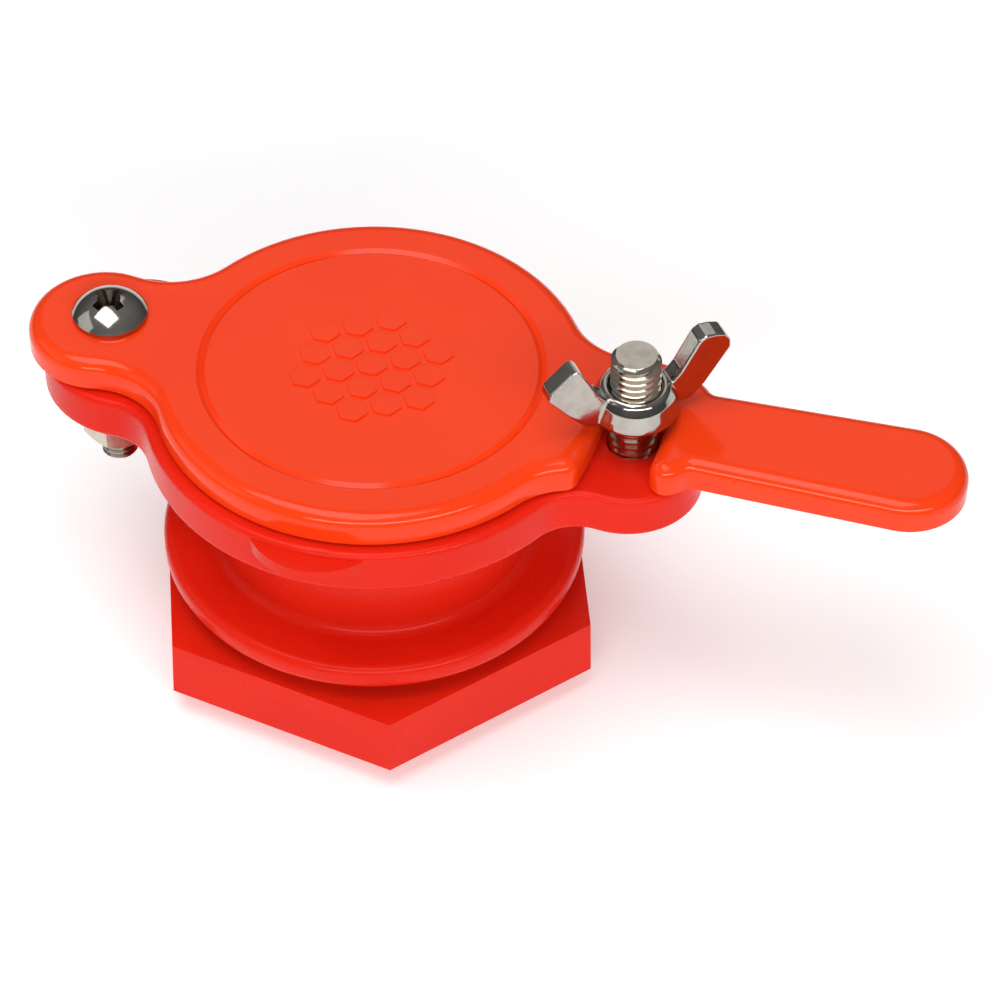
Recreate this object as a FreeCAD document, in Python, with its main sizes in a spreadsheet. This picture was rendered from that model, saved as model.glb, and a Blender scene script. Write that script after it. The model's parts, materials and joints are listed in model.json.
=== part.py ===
"""Swing-gate valve with a threaded spigot and a hexagonal back nut, in millimetres.

+Z runs along the bore, away from the tank. +X points from the bore to the handle.
The origin is on the bore's axis, on the face of the flange that seals to the tank.
"""
import FreeCAD, Part
import math
import os
import Sketcher

# Driving dimensions: alias, value, what it measures.
SIZES = [
    # valve body
    ("bore_radius", 20, "bore"),
    ("spigot_wall", 4, "spigot, bore to thread crests"),
    ("spigot_length", 18.2, "spigot, below the flange"),
    ("spigot_pitch", 3, "spigot thread, crest to crest"),
    ("spigot_groove", 1.2, "spigot thread, depth"),
    ("flange_width", 10.4, "flange, past the spigot"),
    ("flange_thickness", 4.4, "flange"),
    ("flange_rounding", 1.6, "flange, rim fillets"),
    ("neck_wall", 6, "neck, round the bore"),
    ("neck_height", 20.6, "neck, flange to plate"),
    ("neck_fillet", 1.8, "neck, fillets at both ends"),
    ("plate_width", 16.6, "face plate, bore to rim"),
    ("plate_thickness", 7.7, "face plate"),
    ("plate_pivot_ear", 15.2, "face plate, ear at the pivot"),
    ("plate_clamp_ear", 12.2, "face plate, ear at the clamp"),
    ("plate_pivot_shift", 3.9, "face plate, middle of its pivot ear inward from the screw"),
    ("plate_clamp_shift", 0.6, "face plate, middle of its clamp ear inward from the bolt"),
    ("plate_heading", -1.8, "face plate, turn of its ears about the bore in degrees"),
    ("plate_waist", 8, "face plate, hollow between disc and ear"),
    ("plate_rounding", 1, "face plate, rim fillets"),
    ("land_width", 5.5, "raised sealing land, round the bore"),
    ("land_height", 0.5, "raised sealing land"),
    ("lip_radius", 11.4, "drip lip, its curve"),
    ("lip_reach", 3.4, "drip lip, past the plate's rim"),
    ("lip_thickness", 2.2, "drip lip"),
    # places of the two fasteners
    ("pivot_stand", 6.9, "face plate's rim to pivot screw"),
    ("clamp_stand", 6, "face plate's rim to clamp bolt"),
    # gate
    ("gate_inset", 2, "gate disc's rim, inside the face plate's"),
    ("gate_thickness", 5, "gate"),
    ("gate_pivot_ear", 11.8, "gate, ear at the pivot"),
    ("gate_clamp_ear", 13.9, "gate, ear at the clamp"),
    ("gate_pivot_shift", 1.2, "gate, middle of its pivot ear outward from the screw"),
    ("gate_heading", 0.6, "gate, turn of its ears and handle about the bore in degrees"),
    ("gate_waist", 12, "gate, hollow between disc and ear"),
    ("gate_rounding", 2.4, "gate, upper edge fillet"),
    ("mouth_rounding", 2.6, "gate, upright corners at the slot's mouth"),
    ("handle_fillet", 1.5, "gate, upright corners between ear and handle"),
    ("slot_clearance", 1, "clamp slot round the bolt, per side"),
    ("handle_length", 52.8, "clamp bolt to the handle's end"),
    ("handle_root", 17.4, "handle width at the ear"),
    ("handle_width", 19.2, "handle width at its end"),
    ("ring_inset", 7.6, "decorative ring, inside the gate disc's rim"),
    ("ring_width", 1.4, "decorative ring groove"),
    ("ring_depth", 0.5, "decorative ring groove"),
    ("cell_flats", 4.4, "relief cell, across its flats"),
    ("cell_gap", 1, "relief, between two cells"),
    ("cell_height", 0.3, "relief"),
    # tank side
    ("gasket_width", 5.1, "gasket"),
    ("gasket_thickness", 3.2, "gasket"),
    ("gasket_clearance", 0.4, "gasket hole round the spigot, per side"),
    ("back_nut_wall", 10.1, "back nut at its flats, past the spigot"),
    ("back_nut_height", 10.4, "back nut"),
    ("back_nut_draft", 1.5, "back nut, slope of its sides in degrees"),
    ("back_nut_heading", 19.7, "back nut, turn about the bore in degrees"),
    # pivot: M6 pan head screw, washer and two nuts
    ("screw_radius", 3, "pivot screw shank"),
    ("screw_tail", 5, "pivot screw, past its nuts"),
    ("screw_pitch", 1, "pivot screw thread"),
    ("screw_head_radius", 6, "pivot screw head"),
    ("screw_head_rim", 0.9, "pivot screw head, upright rim"),
    ("screw_head_dome", 2.9, "pivot screw head, dome above the rim"),
    ("screw_clearance", 0.25, "pivot screw in the face plate, per side"),
    ("washer_radius", 6, "pivot washer, outside"),
    ("washer_thickness", 1.6, "pivot washer"),
    ("screw_nut_flats", 10, "pivot nuts, across their flats"),
    ("screw_nut_height", 5, "one pivot nut"),
    # clamp: M8 hexagon bolt and wing nut
    ("bolt_radius", 4, "clamp bolt shank"),
    ("bolt_tail", 11.6, "clamp bolt, above the wing nut's base"),
    ("bolt_pitch", 1.25, "clamp bolt thread"),
    ("bolt_head_flats", 13, "clamp bolt head, across its flats"),
    ("bolt_head_height", 5.3, "clamp bolt head"),
    ("pocket_depth", 1.4, "hexagonal pocket under the clamp ear"),
    ("pocket_clearance", 0.2, "hexagonal pocket round the head, per side"),
    ("bolt_clearance", 0.15, "clamp bolt in the face plate, per side"),
    ("wing_nut_lift", 1.5, "wing nut above the gate, loosened"),
    ("boss_base_wall", 2.9, "wing nut boss at its base, past the bolt"),
    ("boss_top_wall", 1.3, "wing nut boss at its top, past the bolt"),
    ("boss_height", 5.5, "wing nut boss"),
    ("wing_span", 30.8, "wing nut, tip to tip"),
    ("wing_height", 13, "wing nut, base to tips"),
    ("wing_depth", 6.4, "wing, root height"),
    ("wing_thickness", 3.4, "wing"),
    ("wing_heading", 38, "wings, turn from the handle in degrees"),
    # fits
    ("running_gap", 0.08, "turning fit, per side"),
    ("face_gap", 0.1, "between faces that slide on each other"),
    ("thread_relief", 0.15, "depth by which thread valleys end short of a crest"),
]

V_AXIS, H_AXIS, ORIGIN = -2, -1, -1  # a sketch's own axes and its origin point
START, END, CENTRE = 1, 2, 3  # the points of a sketch element

doc = FreeCAD.newDocument("swing_gate_valve")
sheet = doc.addObject("Spreadsheet::Sheet", "Sizes")
for row, (alias, value, note) in enumerate(SIZES, start=1):
    sheet.set(f"A{row}", note)
    sheet.set(f"B{row}", str(value))
    sheet.setAlias(f"B{row}", alias)
doc.recompute()


class Length:
    """A number together with the spreadsheet expression that gives it."""

    def __init__(self, text, value):
        self.text = text
        self.value = value

    def __add__(self, other):
        other = length(other)
        return Length(f"({self.text} + {other.text})", self.value + other.value)

    def __sub__(self, other):
        other = length(other)
        return Length(f"({self.text} - {other.text})", self.value - other.value)

    def __mul__(self, factor):
        factor = length(factor)
        return Length(f"({self.text} * {factor.text})", self.value * factor.value)

    def __truediv__(self, divisor):
        divisor = length(divisor)
        return Length(f"({self.text} / {divisor.text})", self.value / divisor.value)

    def __neg__(self):
        return Length(f"(0 - {self.text})", -self.value)


def length(value):
    """The value itself if it is a Length, or a fixed number made into one."""
    return value if isinstance(value, Length) else Length(f"{value:.9g}", float(value))


def size(alias):
    """The spreadsheet's cell of that alias."""
    return Length(f"Sizes.{alias}", float(sheet.get(alias)))


# Radii and places that several pieces share, from the bore outwards
SPIGOT_RADIUS = size("bore_radius") + size("spigot_wall")
FLANGE_RADIUS = SPIGOT_RADIUS + size("flange_width")
NECK_RADIUS = size("bore_radius") + size("neck_wall")
LAND_RADIUS = size("bore_radius") + size("land_width")
PLATE_RADIUS = size("bore_radius") + size("plate_width")
GATE_RADIUS = PLATE_RADIUS - size("gate_inset")
RING_RADIUS = GATE_RADIUS - size("ring_inset")
PIVOT_OFFSET = PLATE_RADIUS + size("pivot_stand")
CLAMP_OFFSET = PLATE_RADIUS + size("clamp_stand")
SLOT_WIDTH = (size("bolt_radius") + size("slot_clearance")) * 2
HANDLE_REACH = CLAMP_OFFSET + size("handle_length")
GASKET_HOLE = SPIGOT_RADIUS + size("gasket_clearance")
BACK_NUT_FLATS = (SPIGOT_RADIUS + size("back_nut_wall")) * 2

# Heights that several pieces share
FLANGE_TOP = size("flange_thickness")
PLATE_BOTTOM = FLANGE_TOP + size("neck_height")
PLATE_TOP = PLATE_BOTTOM + size("plate_thickness")
LAND_TOP = PLATE_TOP + size("land_height")
GATE_BOTTOM = LAND_TOP + size("face_gap")
GATE_TOP = GATE_BOTTOM + size("gate_thickness")
SPIGOT_END = -size("spigot_length")
GASKET_BOTTOM = -size("gasket_thickness")
POCKET_TOP = PLATE_BOTTOM + size("pocket_depth")
SCREW_SEAT = GATE_TOP + size("face_gap")
WASHER_BOTTOM = PLATE_BOTTOM - size("washer_thickness")
WING_NUT_BOTTOM = GATE_TOP + size("wing_nut_lift")

# Fastener lengths, under their heads
SCREW_LENGTH = SCREW_SEAT - WASHER_BOTTOM + size("screw_nut_height") * 2 + size("screw_tail")
BOLT_LENGTH = WING_NUT_BOTTOM - POCKET_TOP + size("bolt_tail")


# ---- sketches ------------------------------------------------------------------------------

def bind(thing, path, value):
    """Ties one property of an object to the spreadsheet."""
    thing.setExpression(path, length(value).text)


def new_body(label):
    body = doc.addObject("PartDesign::Body", label)
    body.Label = label
    return body


def origin_feature(body, role):
    """One of the body's own origin planes or axes."""
    return next(item for item in body.Origin.OriginFeatures if item.Role == role)


def new_sketch(body, name, role="XY_Plane", lift=None, heading=None):
    """A sketch on one of the body's origin planes, or lifted from it and turned by a heading."""
    sketch = body.newObject("Sketcher::SketchObject", name)
    sketch.AttachmentSupport = [(origin_feature(body, role), "")]
    sketch.MapMode = "FlatFace"
    if lift is not None:
        bind(sketch, ".AttachmentOffset.Base.z", lift)
    if heading is not None:
        upright = FreeCAD.Vector(0, 0, 1)
        turn = FreeCAD.Rotation(upright, heading.value)
        sketch.AttachmentOffset = FreeCAD.Placement(upright * lift.value, turn)
        bind(sketch, ".AttachmentOffset.Rotation.Angle", heading)
    return sketch


def constrain(sketch, kind, references, value):
    """Adds a constraint with a size and ties that size to the spreadsheet."""
    index = sketch.addConstraint(Sketcher.Constraint(kind, *references, value.value))
    sketch.setExpression(f"Constraints[{index}]", value.text)


def hold(sketch, element, point, x, y):
    """Holds one point of a sketch element at (x, y)."""
    for kind, axis, value in (("DistanceX", V_AXIS, length(x)), ("DistanceY", H_AXIS, length(y))):
        if abs(value.value) < 1e-9:
            sketch.addConstraint(Sketcher.Constraint("PointOnObject", element, point, axis))
        else:
            constrain(sketch, kind, (ORIGIN, START, element, point), value)


def vector(x, y):
    return FreeCAD.Vector(length(x).value, length(y).value, 0)


def polygon(sketch, corners):
    """A closed outline of straight lines through the corners."""
    first = sketch.GeometryCount
    count = len(corners)
    for index, corner in enumerate(corners):
        after = corners[(index + 1) % count]
        sketch.addGeometry(Part.LineSegment(vector(*corner), vector(*after)))
    for index, corner in enumerate(corners):
        hold(sketch, first + index, START, *corner)
        link = Sketcher.Constraint(
            "Coincident", first + index, END, first + (index + 1) % count, START)
        sketch.addConstraint(link)


def circle(sketch, radius, x=0, y=0):
    index = sketch.addGeometry(Part.Circle(vector(x, y), FreeCAD.Vector(0, 0, 1), radius.value))
    constrain(sketch, "Radius", (index,), radius)
    hold(sketch, index, CENTRE, x, y)


def hexagon(sketch, flats, x=0, y=0, heading=0):
    """A regular hexagon with the distance flats across its sides, one corner at the heading."""
    corners = []
    for turn in range(6):
        angle = math.radians(heading + 60 * turn)
        reach = flats / math.sqrt(3)
        # rounded, so that a right angle's zero is a true zero
        across, along = round(math.cos(angle), 12), round(math.sin(angle), 12)
        corners.append((reach * across + x, reach * along + y))
    polygon(sketch, corners)


def arc(sketch, centre, radius, start, end):
    """An arc from start to end, counterclockwise about its centre."""
    angles = [math.atan2(point.y - centre.y, point.x - centre.x) for point in (start, end)]
    if angles[1] < angles[0]:
        angles[1] += 2 * math.pi
    whole = Part.Circle(centre, FreeCAD.Vector(0, 0, 1), radius)
    return sketch.addGeometry(Part.ArcOfCircle(whole, *angles))


def plate_outline(sketch, disc, left_x, left_radius, right_x, right_radius, waist):
    """A disc about the origin with a round ear on each side, blended by hollow arcs.

    The outline is a ring of eight tangent arcs: ear, waist, disc, waist, ear, waist, disc, waist.
    """
    centre = FreeCAD.Vector(0, 0, 0)
    waists = {}
    for ear_x, ear_radius in ((left_x, left_radius), (right_x, right_radius)):
        reach = abs(ear_x.value)
        to_disc = disc.value + waist.value
        to_ear = ear_radius.value + waist.value
        along = (reach ** 2 + to_disc ** 2 - to_ear ** 2) / (2 * reach)
        across = math.sqrt(to_disc ** 2 - along ** 2)
        waists[ear_x.text] = (math.copysign(along, ear_x.value), across)

    def touch(ear_x, side):
        """The waist's centre, and where it touches the disc and the ear."""
        along, across = waists[ear_x.text]
        middle = FreeCAD.Vector(along, side * across, 0)
        ear = FreeCAD.Vector(ear_x.value, 0, 0)
        on_disc = middle * (disc.value / middle.Length)
        on_ear = middle + (ear - middle) * (waist.value / (ear - middle).Length)
        return middle, on_disc, on_ear

    upper_right, upper_left = touch(right_x, 1), touch(left_x, 1)
    lower_right, lower_left = touch(right_x, -1), touch(left_x, -1)
    right_ear, left_ear = vector(right_x, 0), vector(left_x, 0)
    # each entry: centre, radius, first point, last point, and whether it runs with the outline
    ring = [
        (right_ear, right_radius, lower_right[2], upper_right[2], True),
        (upper_right[0], waist, upper_right[1], upper_right[2], False),
        (centre, disc, upper_right[1], upper_left[1], True),
        (upper_left[0], waist, upper_left[2], upper_left[1], False),
        (left_ear, left_radius, upper_left[2], lower_left[2], True),
        (lower_left[0], waist, lower_left[1], lower_left[2], False),
        (centre, disc, lower_left[1], lower_right[1], True),
        (lower_right[0], waist, lower_right[2], lower_right[1], False),
    ]
    arcs = [arc(sketch, middle, radius.value, start, end) for middle, radius, start, end, _ in ring]
    for index, (_, radius, _, _, along) in enumerate(ring):
        following = (index + 1) % len(ring)
        leaving = END if along else START
        entering = START if ring[following][4] else END
        link = Sketcher.Constraint("Tangent", arcs[index], leaving, arcs[following], entering)
        sketch.addConstraint(link)
        constrain(sketch, "Radius", (arcs[index],), radius)
    hold(sketch, arcs[0], CENTRE, right_x, 0)
    hold(sketch, arcs[2], CENTRE, 0, 0)
    hold(sketch, arcs[4], CENTRE, left_x, 0)
    hold(sketch, arcs[6], CENTRE, 0, 0)


# ---- features ------------------------------------------------------------------------------

def rebuild(feature):
    """Recomputes the document and stops at a feature that failed."""
    doc.recompute()
    if {"Invalid", "Error"} & set(feature.State) or feature.Shape.isNull():
        raise RuntimeError(f"{feature.Name} failed: {feature.State}")
    return feature


def pad(body, sketch, height, both_ways=False, draft=None):
    """Raises the sketch; with a draft, in degrees, the sides lean inward."""
    rebuild(sketch)
    feature = body.newObject("PartDesign::Pad", sketch.Name + "_pad")
    feature.Profile = sketch
    feature.SideType = "Symmetric" if both_ways else "One side"
    bind(feature, "Length", height)
    if draft is not None:
        bind(feature, "TaperAngle", -draft)
    return rebuild(feature)


def pocket(body, sketch, depth, upward=False):
    """Cuts downward from the sketch, or upward, and makes sure that something was cut."""
    rebuild(sketch)
    before = body.Shape.Volume
    feature = body.newObject("PartDesign::Pocket", sketch.Name + "_pocket")
    feature.Profile = sketch
    feature.Reversed = upward
    bind(feature, "Length", depth)
    rebuild(feature)
    if not feature.Shape.Volume < before:
        raise RuntimeError(f"{feature.Name} cuts nothing")
    return feature


def revolve(body, sketch, kind="Revolution"):
    """Turns the sketch once about the body's Z axis, to add it or to cut it away."""
    rebuild(sketch)
    feature = body.newObject(f"PartDesign::{kind}", f"{sketch.Name}_{kind.lower()}")
    feature.Profile = sketch
    feature.ReferenceAxis = (origin_feature(body, "Z_Axis"), [""])
    feature.Angle = 360
    return rebuild(feature)


def fillet(body, base, edges, radius):
    feature = body.newObject("PartDesign::Fillet", f"{body.Name}_fillet")
    feature.Base = (base, edges)
    bind(feature, "Radius", radius)
    return rebuild(feature)


def edges_where(feature, test):
    """The names of the feature's edges that pass the test."""
    return [f"Edge{index}" for index, edge in enumerate(feature.Shape.Edges, start=1) if test(edge)]


def flat_at(edge, height):
    """True if the whole edge lies at that height."""
    box = edge.BoundBox
    return abs(box.ZMin - height) < 1e-4 and abs(box.ZMax - height) < 1e-4


def is_hole(edge):
    """True for a full circle."""
    return isinstance(edge.Curve, Part.Circle) and edge.isClosed()


def thread_grooves(body, radius, pitch, depth, bottom, span):
    """Cuts evenly spaced V grooves round a shank, up from the height bottom."""
    sketch = new_sketch(body, f"{body.Name}_thread", "XZ_Plane")
    proud = size("thread_relief")
    half = pitch * 0.42
    middle = bottom + pitch / 2
    polygon(sketch, [
        (radius + proud, middle - half), (radius + proud, middle + half), (radius - depth, middle)])
    groove = revolve(body, sketch, "Groove")
    count = int(span.value / pitch.value)
    pattern = body.newObject("PartDesign::LinearPattern", f"{body.Name}_grooves")
    pattern.Originals = [groove]
    pattern.Direction = (origin_feature(body, "Z_Axis"), [""])
    pattern.Occurrences = count
    bind(pattern, "Length", pitch * (count - 1))
    body.Tip = pattern
    return rebuild(pattern)


# ---- valve body ----------------------------------------------------------------------------

def valve_body():
    """Threaded spigot, flange, neck and face plate, moulded in one piece."""
    body = new_body("valve_body")
    bore, spigot = size("bore_radius"), SPIGOT_RADIUS
    chamfer = size("spigot_groove")
    profile = new_sketch(body, "barrel", "XZ_Plane")
    polygon(profile, [
        (bore, SPIGOT_END), (spigot - chamfer, SPIGOT_END), (spigot, SPIGOT_END + chamfer),
        (spigot, 0), (FLANGE_RADIUS, 0), (FLANGE_RADIUS, FLANGE_TOP),
        (NECK_RADIUS, FLANGE_TOP), (NECK_RADIUS, PLATE_TOP),
        (LAND_RADIUS, PLATE_TOP), (LAND_RADIUS, LAND_TOP), (bore, LAND_TOP)])
    revolve(body, profile)

    plate = new_sketch(body, "face_plate", lift=PLATE_BOTTOM, heading=size("plate_heading"))
    plate_outline(
        plate, PLATE_RADIUS, size("plate_pivot_shift") - PIVOT_OFFSET, size("plate_pivot_ear"),
        CLAMP_OFFSET - size("plate_clamp_shift"), size("plate_clamp_ear"), size("plate_waist"))
    # the bore stays open through the plate
    circle(plate, size("bore_radius"))
    pad(body, plate, size("plate_thickness"))

    def rim_edges(edge):
        """The long edges round the plate, above and below, and round the flange."""
        box = edge.BoundBox
        outside = max(abs(box.YMin), abs(box.YMax), abs(box.XMin), abs(box.XMax))
        level = flat_at(edge, PLATE_TOP.value) or flat_at(edge, PLATE_BOTTOM.value)
        return level and outside > NECK_RADIUS.value + 0.5 and not is_hole(edge)

    rounded = fillet(body, body.Tip, edges_where(body.Tip, rim_edges), size("plate_rounding"))

    def neck_edges(edge):
        near_neck = is_hole(edge) and abs(edge.Curve.Radius - NECK_RADIUS.value) < 1e-4
        return near_neck and (flat_at(edge, FLANGE_TOP.value) or flat_at(edge, PLATE_BOTTOM.value))

    rounded = fillet(body, rounded, edges_where(rounded, neck_edges), size("neck_fillet"))

    def flange_rim(edge):
        return is_hole(edge) and abs(edge.Curve.Radius - FLANGE_RADIUS.value) < 1e-4

    fillet(body, rounded, edges_where(rounded, flange_rim), size("flange_rounding"))

    lip = new_sketch(body, "drip_lip", lift=PLATE_TOP - size("lip_thickness") - size("plate_rounding"))
    lip_y = size("lip_radius") - PLATE_RADIUS - size("lip_reach")
    circle(lip, size("lip_radius"), 0, lip_y)
    pad(body, lip, size("lip_thickness"))
    # the lip's disc reaches into the bore, so the bore is cut again
    bore_cut = new_sketch(body, "bore_cut", lift=LAND_TOP)
    circle(bore_cut, bore)
    pocket(body, bore_cut, LAND_TOP - SPIGOT_END)

    ear_hole = new_sketch(body, "pivot_hole", lift=PLATE_TOP)
    circle(ear_hole, size("screw_radius") + size("screw_clearance"), -PIVOT_OFFSET, 0)
    pocket(body, ear_hole, size("plate_thickness"))

    bolt_hole = new_sketch(body, "bolt_hole", lift=PLATE_TOP)
    circle(bolt_hole, size("bolt_radius") + size("bolt_clearance"), CLAMP_OFFSET, 0)
    pocket(body, bolt_hole, size("plate_thickness"))

    head_pocket = new_sketch(body, "head_pocket", lift=PLATE_BOTTOM)
    hexagon(head_pocket, size("bolt_head_flats") + size("pocket_clearance") * 2,
            CLAMP_OFFSET, 0, heading=30)
    pocket(body, head_pocket, size("pocket_depth"), upward=True)

    thread_grooves(body, spigot, size("spigot_pitch"), size("spigot_groove"),
                   SPIGOT_END + chamfer, size("spigot_length") - chamfer)
    return body


# ---- gate ----------------------------------------------------------------------------------

def gate():
    """Swinging plate with its handle, clamp slot, ring groove and cell relief."""
    body = new_body("gate")
    heading = size("gate_heading")
    outline = new_sketch(body, "gate_plate", lift=GATE_BOTTOM, heading=heading)
    plate_outline(
        outline, GATE_RADIUS, -(PIVOT_OFFSET + size("gate_pivot_shift")), size("gate_pivot_ear"),
        CLAMP_OFFSET, size("gate_clamp_ear"), size("gate_waist"))
    pad(body, outline, size("gate_thickness"))

    handle = new_sketch(body, "handle", lift=GATE_BOTTOM, heading=heading)
    root, half = size("handle_root") / 2, size("handle_width") / 2
    start = CLAMP_OFFSET + SLOT_WIDTH / 2 + size("mouth_rounding")
    round_x = HANDLE_REACH - half
    handle_end(handle, start, root, round_x, half)
    pad(body, handle, size("gate_thickness"))

    slot = new_sketch(body, "clamp_slot", lift=GATE_TOP)
    slot_outline(slot)
    pocket(body, slot, size("gate_thickness"))

    turn = math.radians(heading.value)
    ear_x, ear_y = CLAMP_OFFSET.value * math.cos(turn), CLAMP_OFFSET.value * math.sin(turn)

    def corner_at(edge, near, far):
        """True for an upright edge where two faces meet, between near and far from the ear's middle."""
        box = edge.BoundBox
        full_height = box.ZLength > size("gate_thickness").value - 1e-3
        upright = full_height and box.DiagonalLength < box.ZLength + 1e-3
        distance = math.hypot(box.XMin - ear_x, box.YMin - ear_y)
        off_centre = abs(box.YMin) > 1e-3
        return upright and near < distance < far and off_centre and is_sharp(edge, body.Tip.Shape)

    ear = size("gate_clamp_ear").value
    mouth_x = CLAMP_OFFSET.value + SLOT_WIDTH.value / 2
    mouth = [name for name in edges_where(body.Tip, lambda edge: corner_at(edge, 0, 2 * ear))
             if body.Tip.Shape.getElement(name).BoundBox.XMin < mouth_x]
    softened = fillet(body, body.Tip, mouth, size("mouth_rounding"))
    at_handle = edges_where(softened, lambda edge: corner_at(edge, ear - 0.1, ear + 0.1))
    softened = fillet(body, softened, at_handle, size("handle_fillet"))

    def upper_rim(edge):
        return flat_at(edge, GATE_TOP.value) and not is_hole(edge)

    fillet(body, softened, edges_where(softened, upper_rim), size("gate_rounding"))

    hole = new_sketch(body, "gate_pivot_hole", lift=GATE_TOP)
    circle(hole, size("screw_radius") + size("running_gap"), -PIVOT_OFFSET, 0)
    pocket(body, hole, size("gate_thickness"))

    ring = new_sketch(body, "ring", "XZ_Plane")
    ring_half = size("ring_width") / 2
    polygon(ring, [
        (RING_RADIUS - ring_half, GATE_TOP), (RING_RADIUS, GATE_TOP - size("ring_depth")),
        (RING_RADIUS + ring_half, GATE_TOP)])
    revolve(body, ring, "Groove")
    cell_relief(body)
    return body


def is_sharp(edge, shape):
    """True if the two faces beside the edge meet at an angle."""
    faces = [face for face in shape.Faces if any(edge.isSame(other) for other in face.Edges)]
    if len(faces) != 2:
        return False
    middle = edge.valueAt((edge.FirstParameter + edge.LastParameter) / 2)
    normals = [face.normalAt(*face.Surface.parameter(middle)) for face in faces]
    return normals[0].getAngle(normals[1]) > math.radians(5)


def handle_end(sketch, start, root, round_x, half):
    """The handle seen from above: straight sides that widen towards a round end."""
    lower, end, upper, closing = (
        sketch.addGeometry(Part.LineSegment(vector(start, -root), vector(round_x, -half))),
        arc(sketch, vector(round_x, 0), half.value, vector(round_x, -half), vector(round_x, half)),
        sketch.addGeometry(Part.LineSegment(vector(round_x, half), vector(start, root))),
        sketch.addGeometry(Part.LineSegment(vector(start, root), vector(start, -root))))
    for element, following in ((lower, end), (end, upper), (upper, closing), (closing, lower)):
        sketch.addConstraint(Sketcher.Constraint("Coincident", element, END, following, START))
    hold(sketch, lower, START, start, -root)
    hold(sketch, closing, START, start, root)
    hold(sketch, end, START, round_x, -half)
    hold(sketch, end, END, round_x, half)
    constrain(sketch, "DistanceX", (ORIGIN, START, end, CENTRE), round_x)


def slot_outline(sketch):
    """The clamp slot: two walls round the pivot, a round blind end and an open mouth."""
    pivot_x, bolt_x, half = -PIVOT_OFFSET, CLAMP_OFFSET, SLOT_WIDTH / 2
    swing = CLAMP_OFFSET + PIVOT_OFFSET
    inner, outer = swing - half, swing + half
    # far enough along -Y to leave the gate
    mouth_y = -(size("gate_clamp_ear") + size("gate_waist"))

    def at_mouth(radius):
        return pivot_x.value + math.sqrt(radius.value ** 2 - mouth_y.value ** 2)

    inner_end = FreeCAD.Vector(at_mouth(inner), mouth_y.value, 0)
    outer_end = FreeCAD.Vector(at_mouth(outer), mouth_y.value, 0)
    inner_wall = arc(sketch, vector(pivot_x, 0), inner.value, inner_end, vector(bolt_x - half, 0))
    outer_wall = arc(sketch, vector(pivot_x, 0), outer.value, outer_end, vector(bolt_x + half, 0))
    blind = arc(sketch, vector(bolt_x, 0), half.value, vector(bolt_x + half, 0), vector(bolt_x - half, 0))
    mouth = sketch.addGeometry(Part.LineSegment(inner_end, outer_end))
    for joint in ((inner_wall, START, mouth, START), (mouth, END, outer_wall, START)):
        sketch.addConstraint(Sketcher.Constraint("Coincident", *joint))
    for joint in ((outer_wall, END, blind, START), (blind, END, inner_wall, END)):
        sketch.addConstraint(Sketcher.Constraint("Tangent", *joint))
    for wall, radius in ((inner_wall, inner), (outer_wall, outer)):
        hold(sketch, wall, CENTRE, pivot_x, 0)
        constrain(sketch, "Radius", (wall,), radius)
    sketch.addConstraint(Sketcher.Constraint("PointOnObject", blind, CENTRE, H_AXIS))
    for wall in (inner_wall, outer_wall):
        constrain(sketch, "DistanceY", (ORIGIN, START, wall, START), mouth_y)


def cell_relief(body):
    """Raised hexagonal cells in the middle of the disc: one, then three rings of six."""
    spacing = size("cell_flats") + size("cell_gap")
    rings = [("middle", 0, 0), ("inner", 1, 30), ("outer_corner", 2, 30), ("outer_side", math.sqrt(3), 0)]
    for name, steps, heading in rings:
        angle = math.radians(heading)
        cell = new_sketch(body, f"cell_{name}", lift=GATE_TOP)
        reach = spacing * steps
        hexagon(cell, size("cell_flats"), reach * round(math.cos(angle), 12),
                reach * round(math.sin(angle), 12))
        raised = pad(body, cell, size("cell_height"))
        if steps:
            pattern = body.newObject("PartDesign::PolarPattern", f"cells_{name}")
            pattern.Originals = [raised]
            pattern.Axis = (origin_feature(body, "Z_Axis"), [""])
            pattern.Angle = 360
            pattern.Occurrences = 6
            body.Tip = pattern
            rebuild(pattern)


# ---- tank side -----------------------------------------------------------------------------

def flange_gasket():
    """Flat rubber ring between the flange and the tank."""
    body = new_body("flange_gasket")
    ring = new_sketch(body, "gasket", lift=GASKET_BOTTOM)
    circle(ring, GASKET_HOLE + size("gasket_width"))
    circle(ring, GASKET_HOLE)
    pad(body, ring, size("gasket_thickness"))
    return body


def back_nut():
    """Hexagonal nut that pulls the flange onto the tank wall."""
    body = new_body("back_nut")
    block = new_sketch(body, "nut_block")
    hexagon(block, BACK_NUT_FLATS, heading=-90)
    pad(body, block, size("back_nut_height"), draft=size("back_nut_draft"))
    hole = new_sketch(body, "nut_hole", lift=size("back_nut_height"))
    circle(hole, SPIGOT_RADIUS + size("running_gap"))
    pocket(body, hole, size("back_nut_height"))
    bind(body, ".Placement.Base.z", GASKET_BOTTOM - size("back_nut_height"))
    body.Placement.Rotation = FreeCAD.Rotation(FreeCAD.Vector(0, 0, 1), size("back_nut_heading").value)
    bind(body, ".Placement.Rotation.Angle", size("back_nut_heading"))
    return body


# ---- fasteners -----------------------------------------------------------------------------

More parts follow.
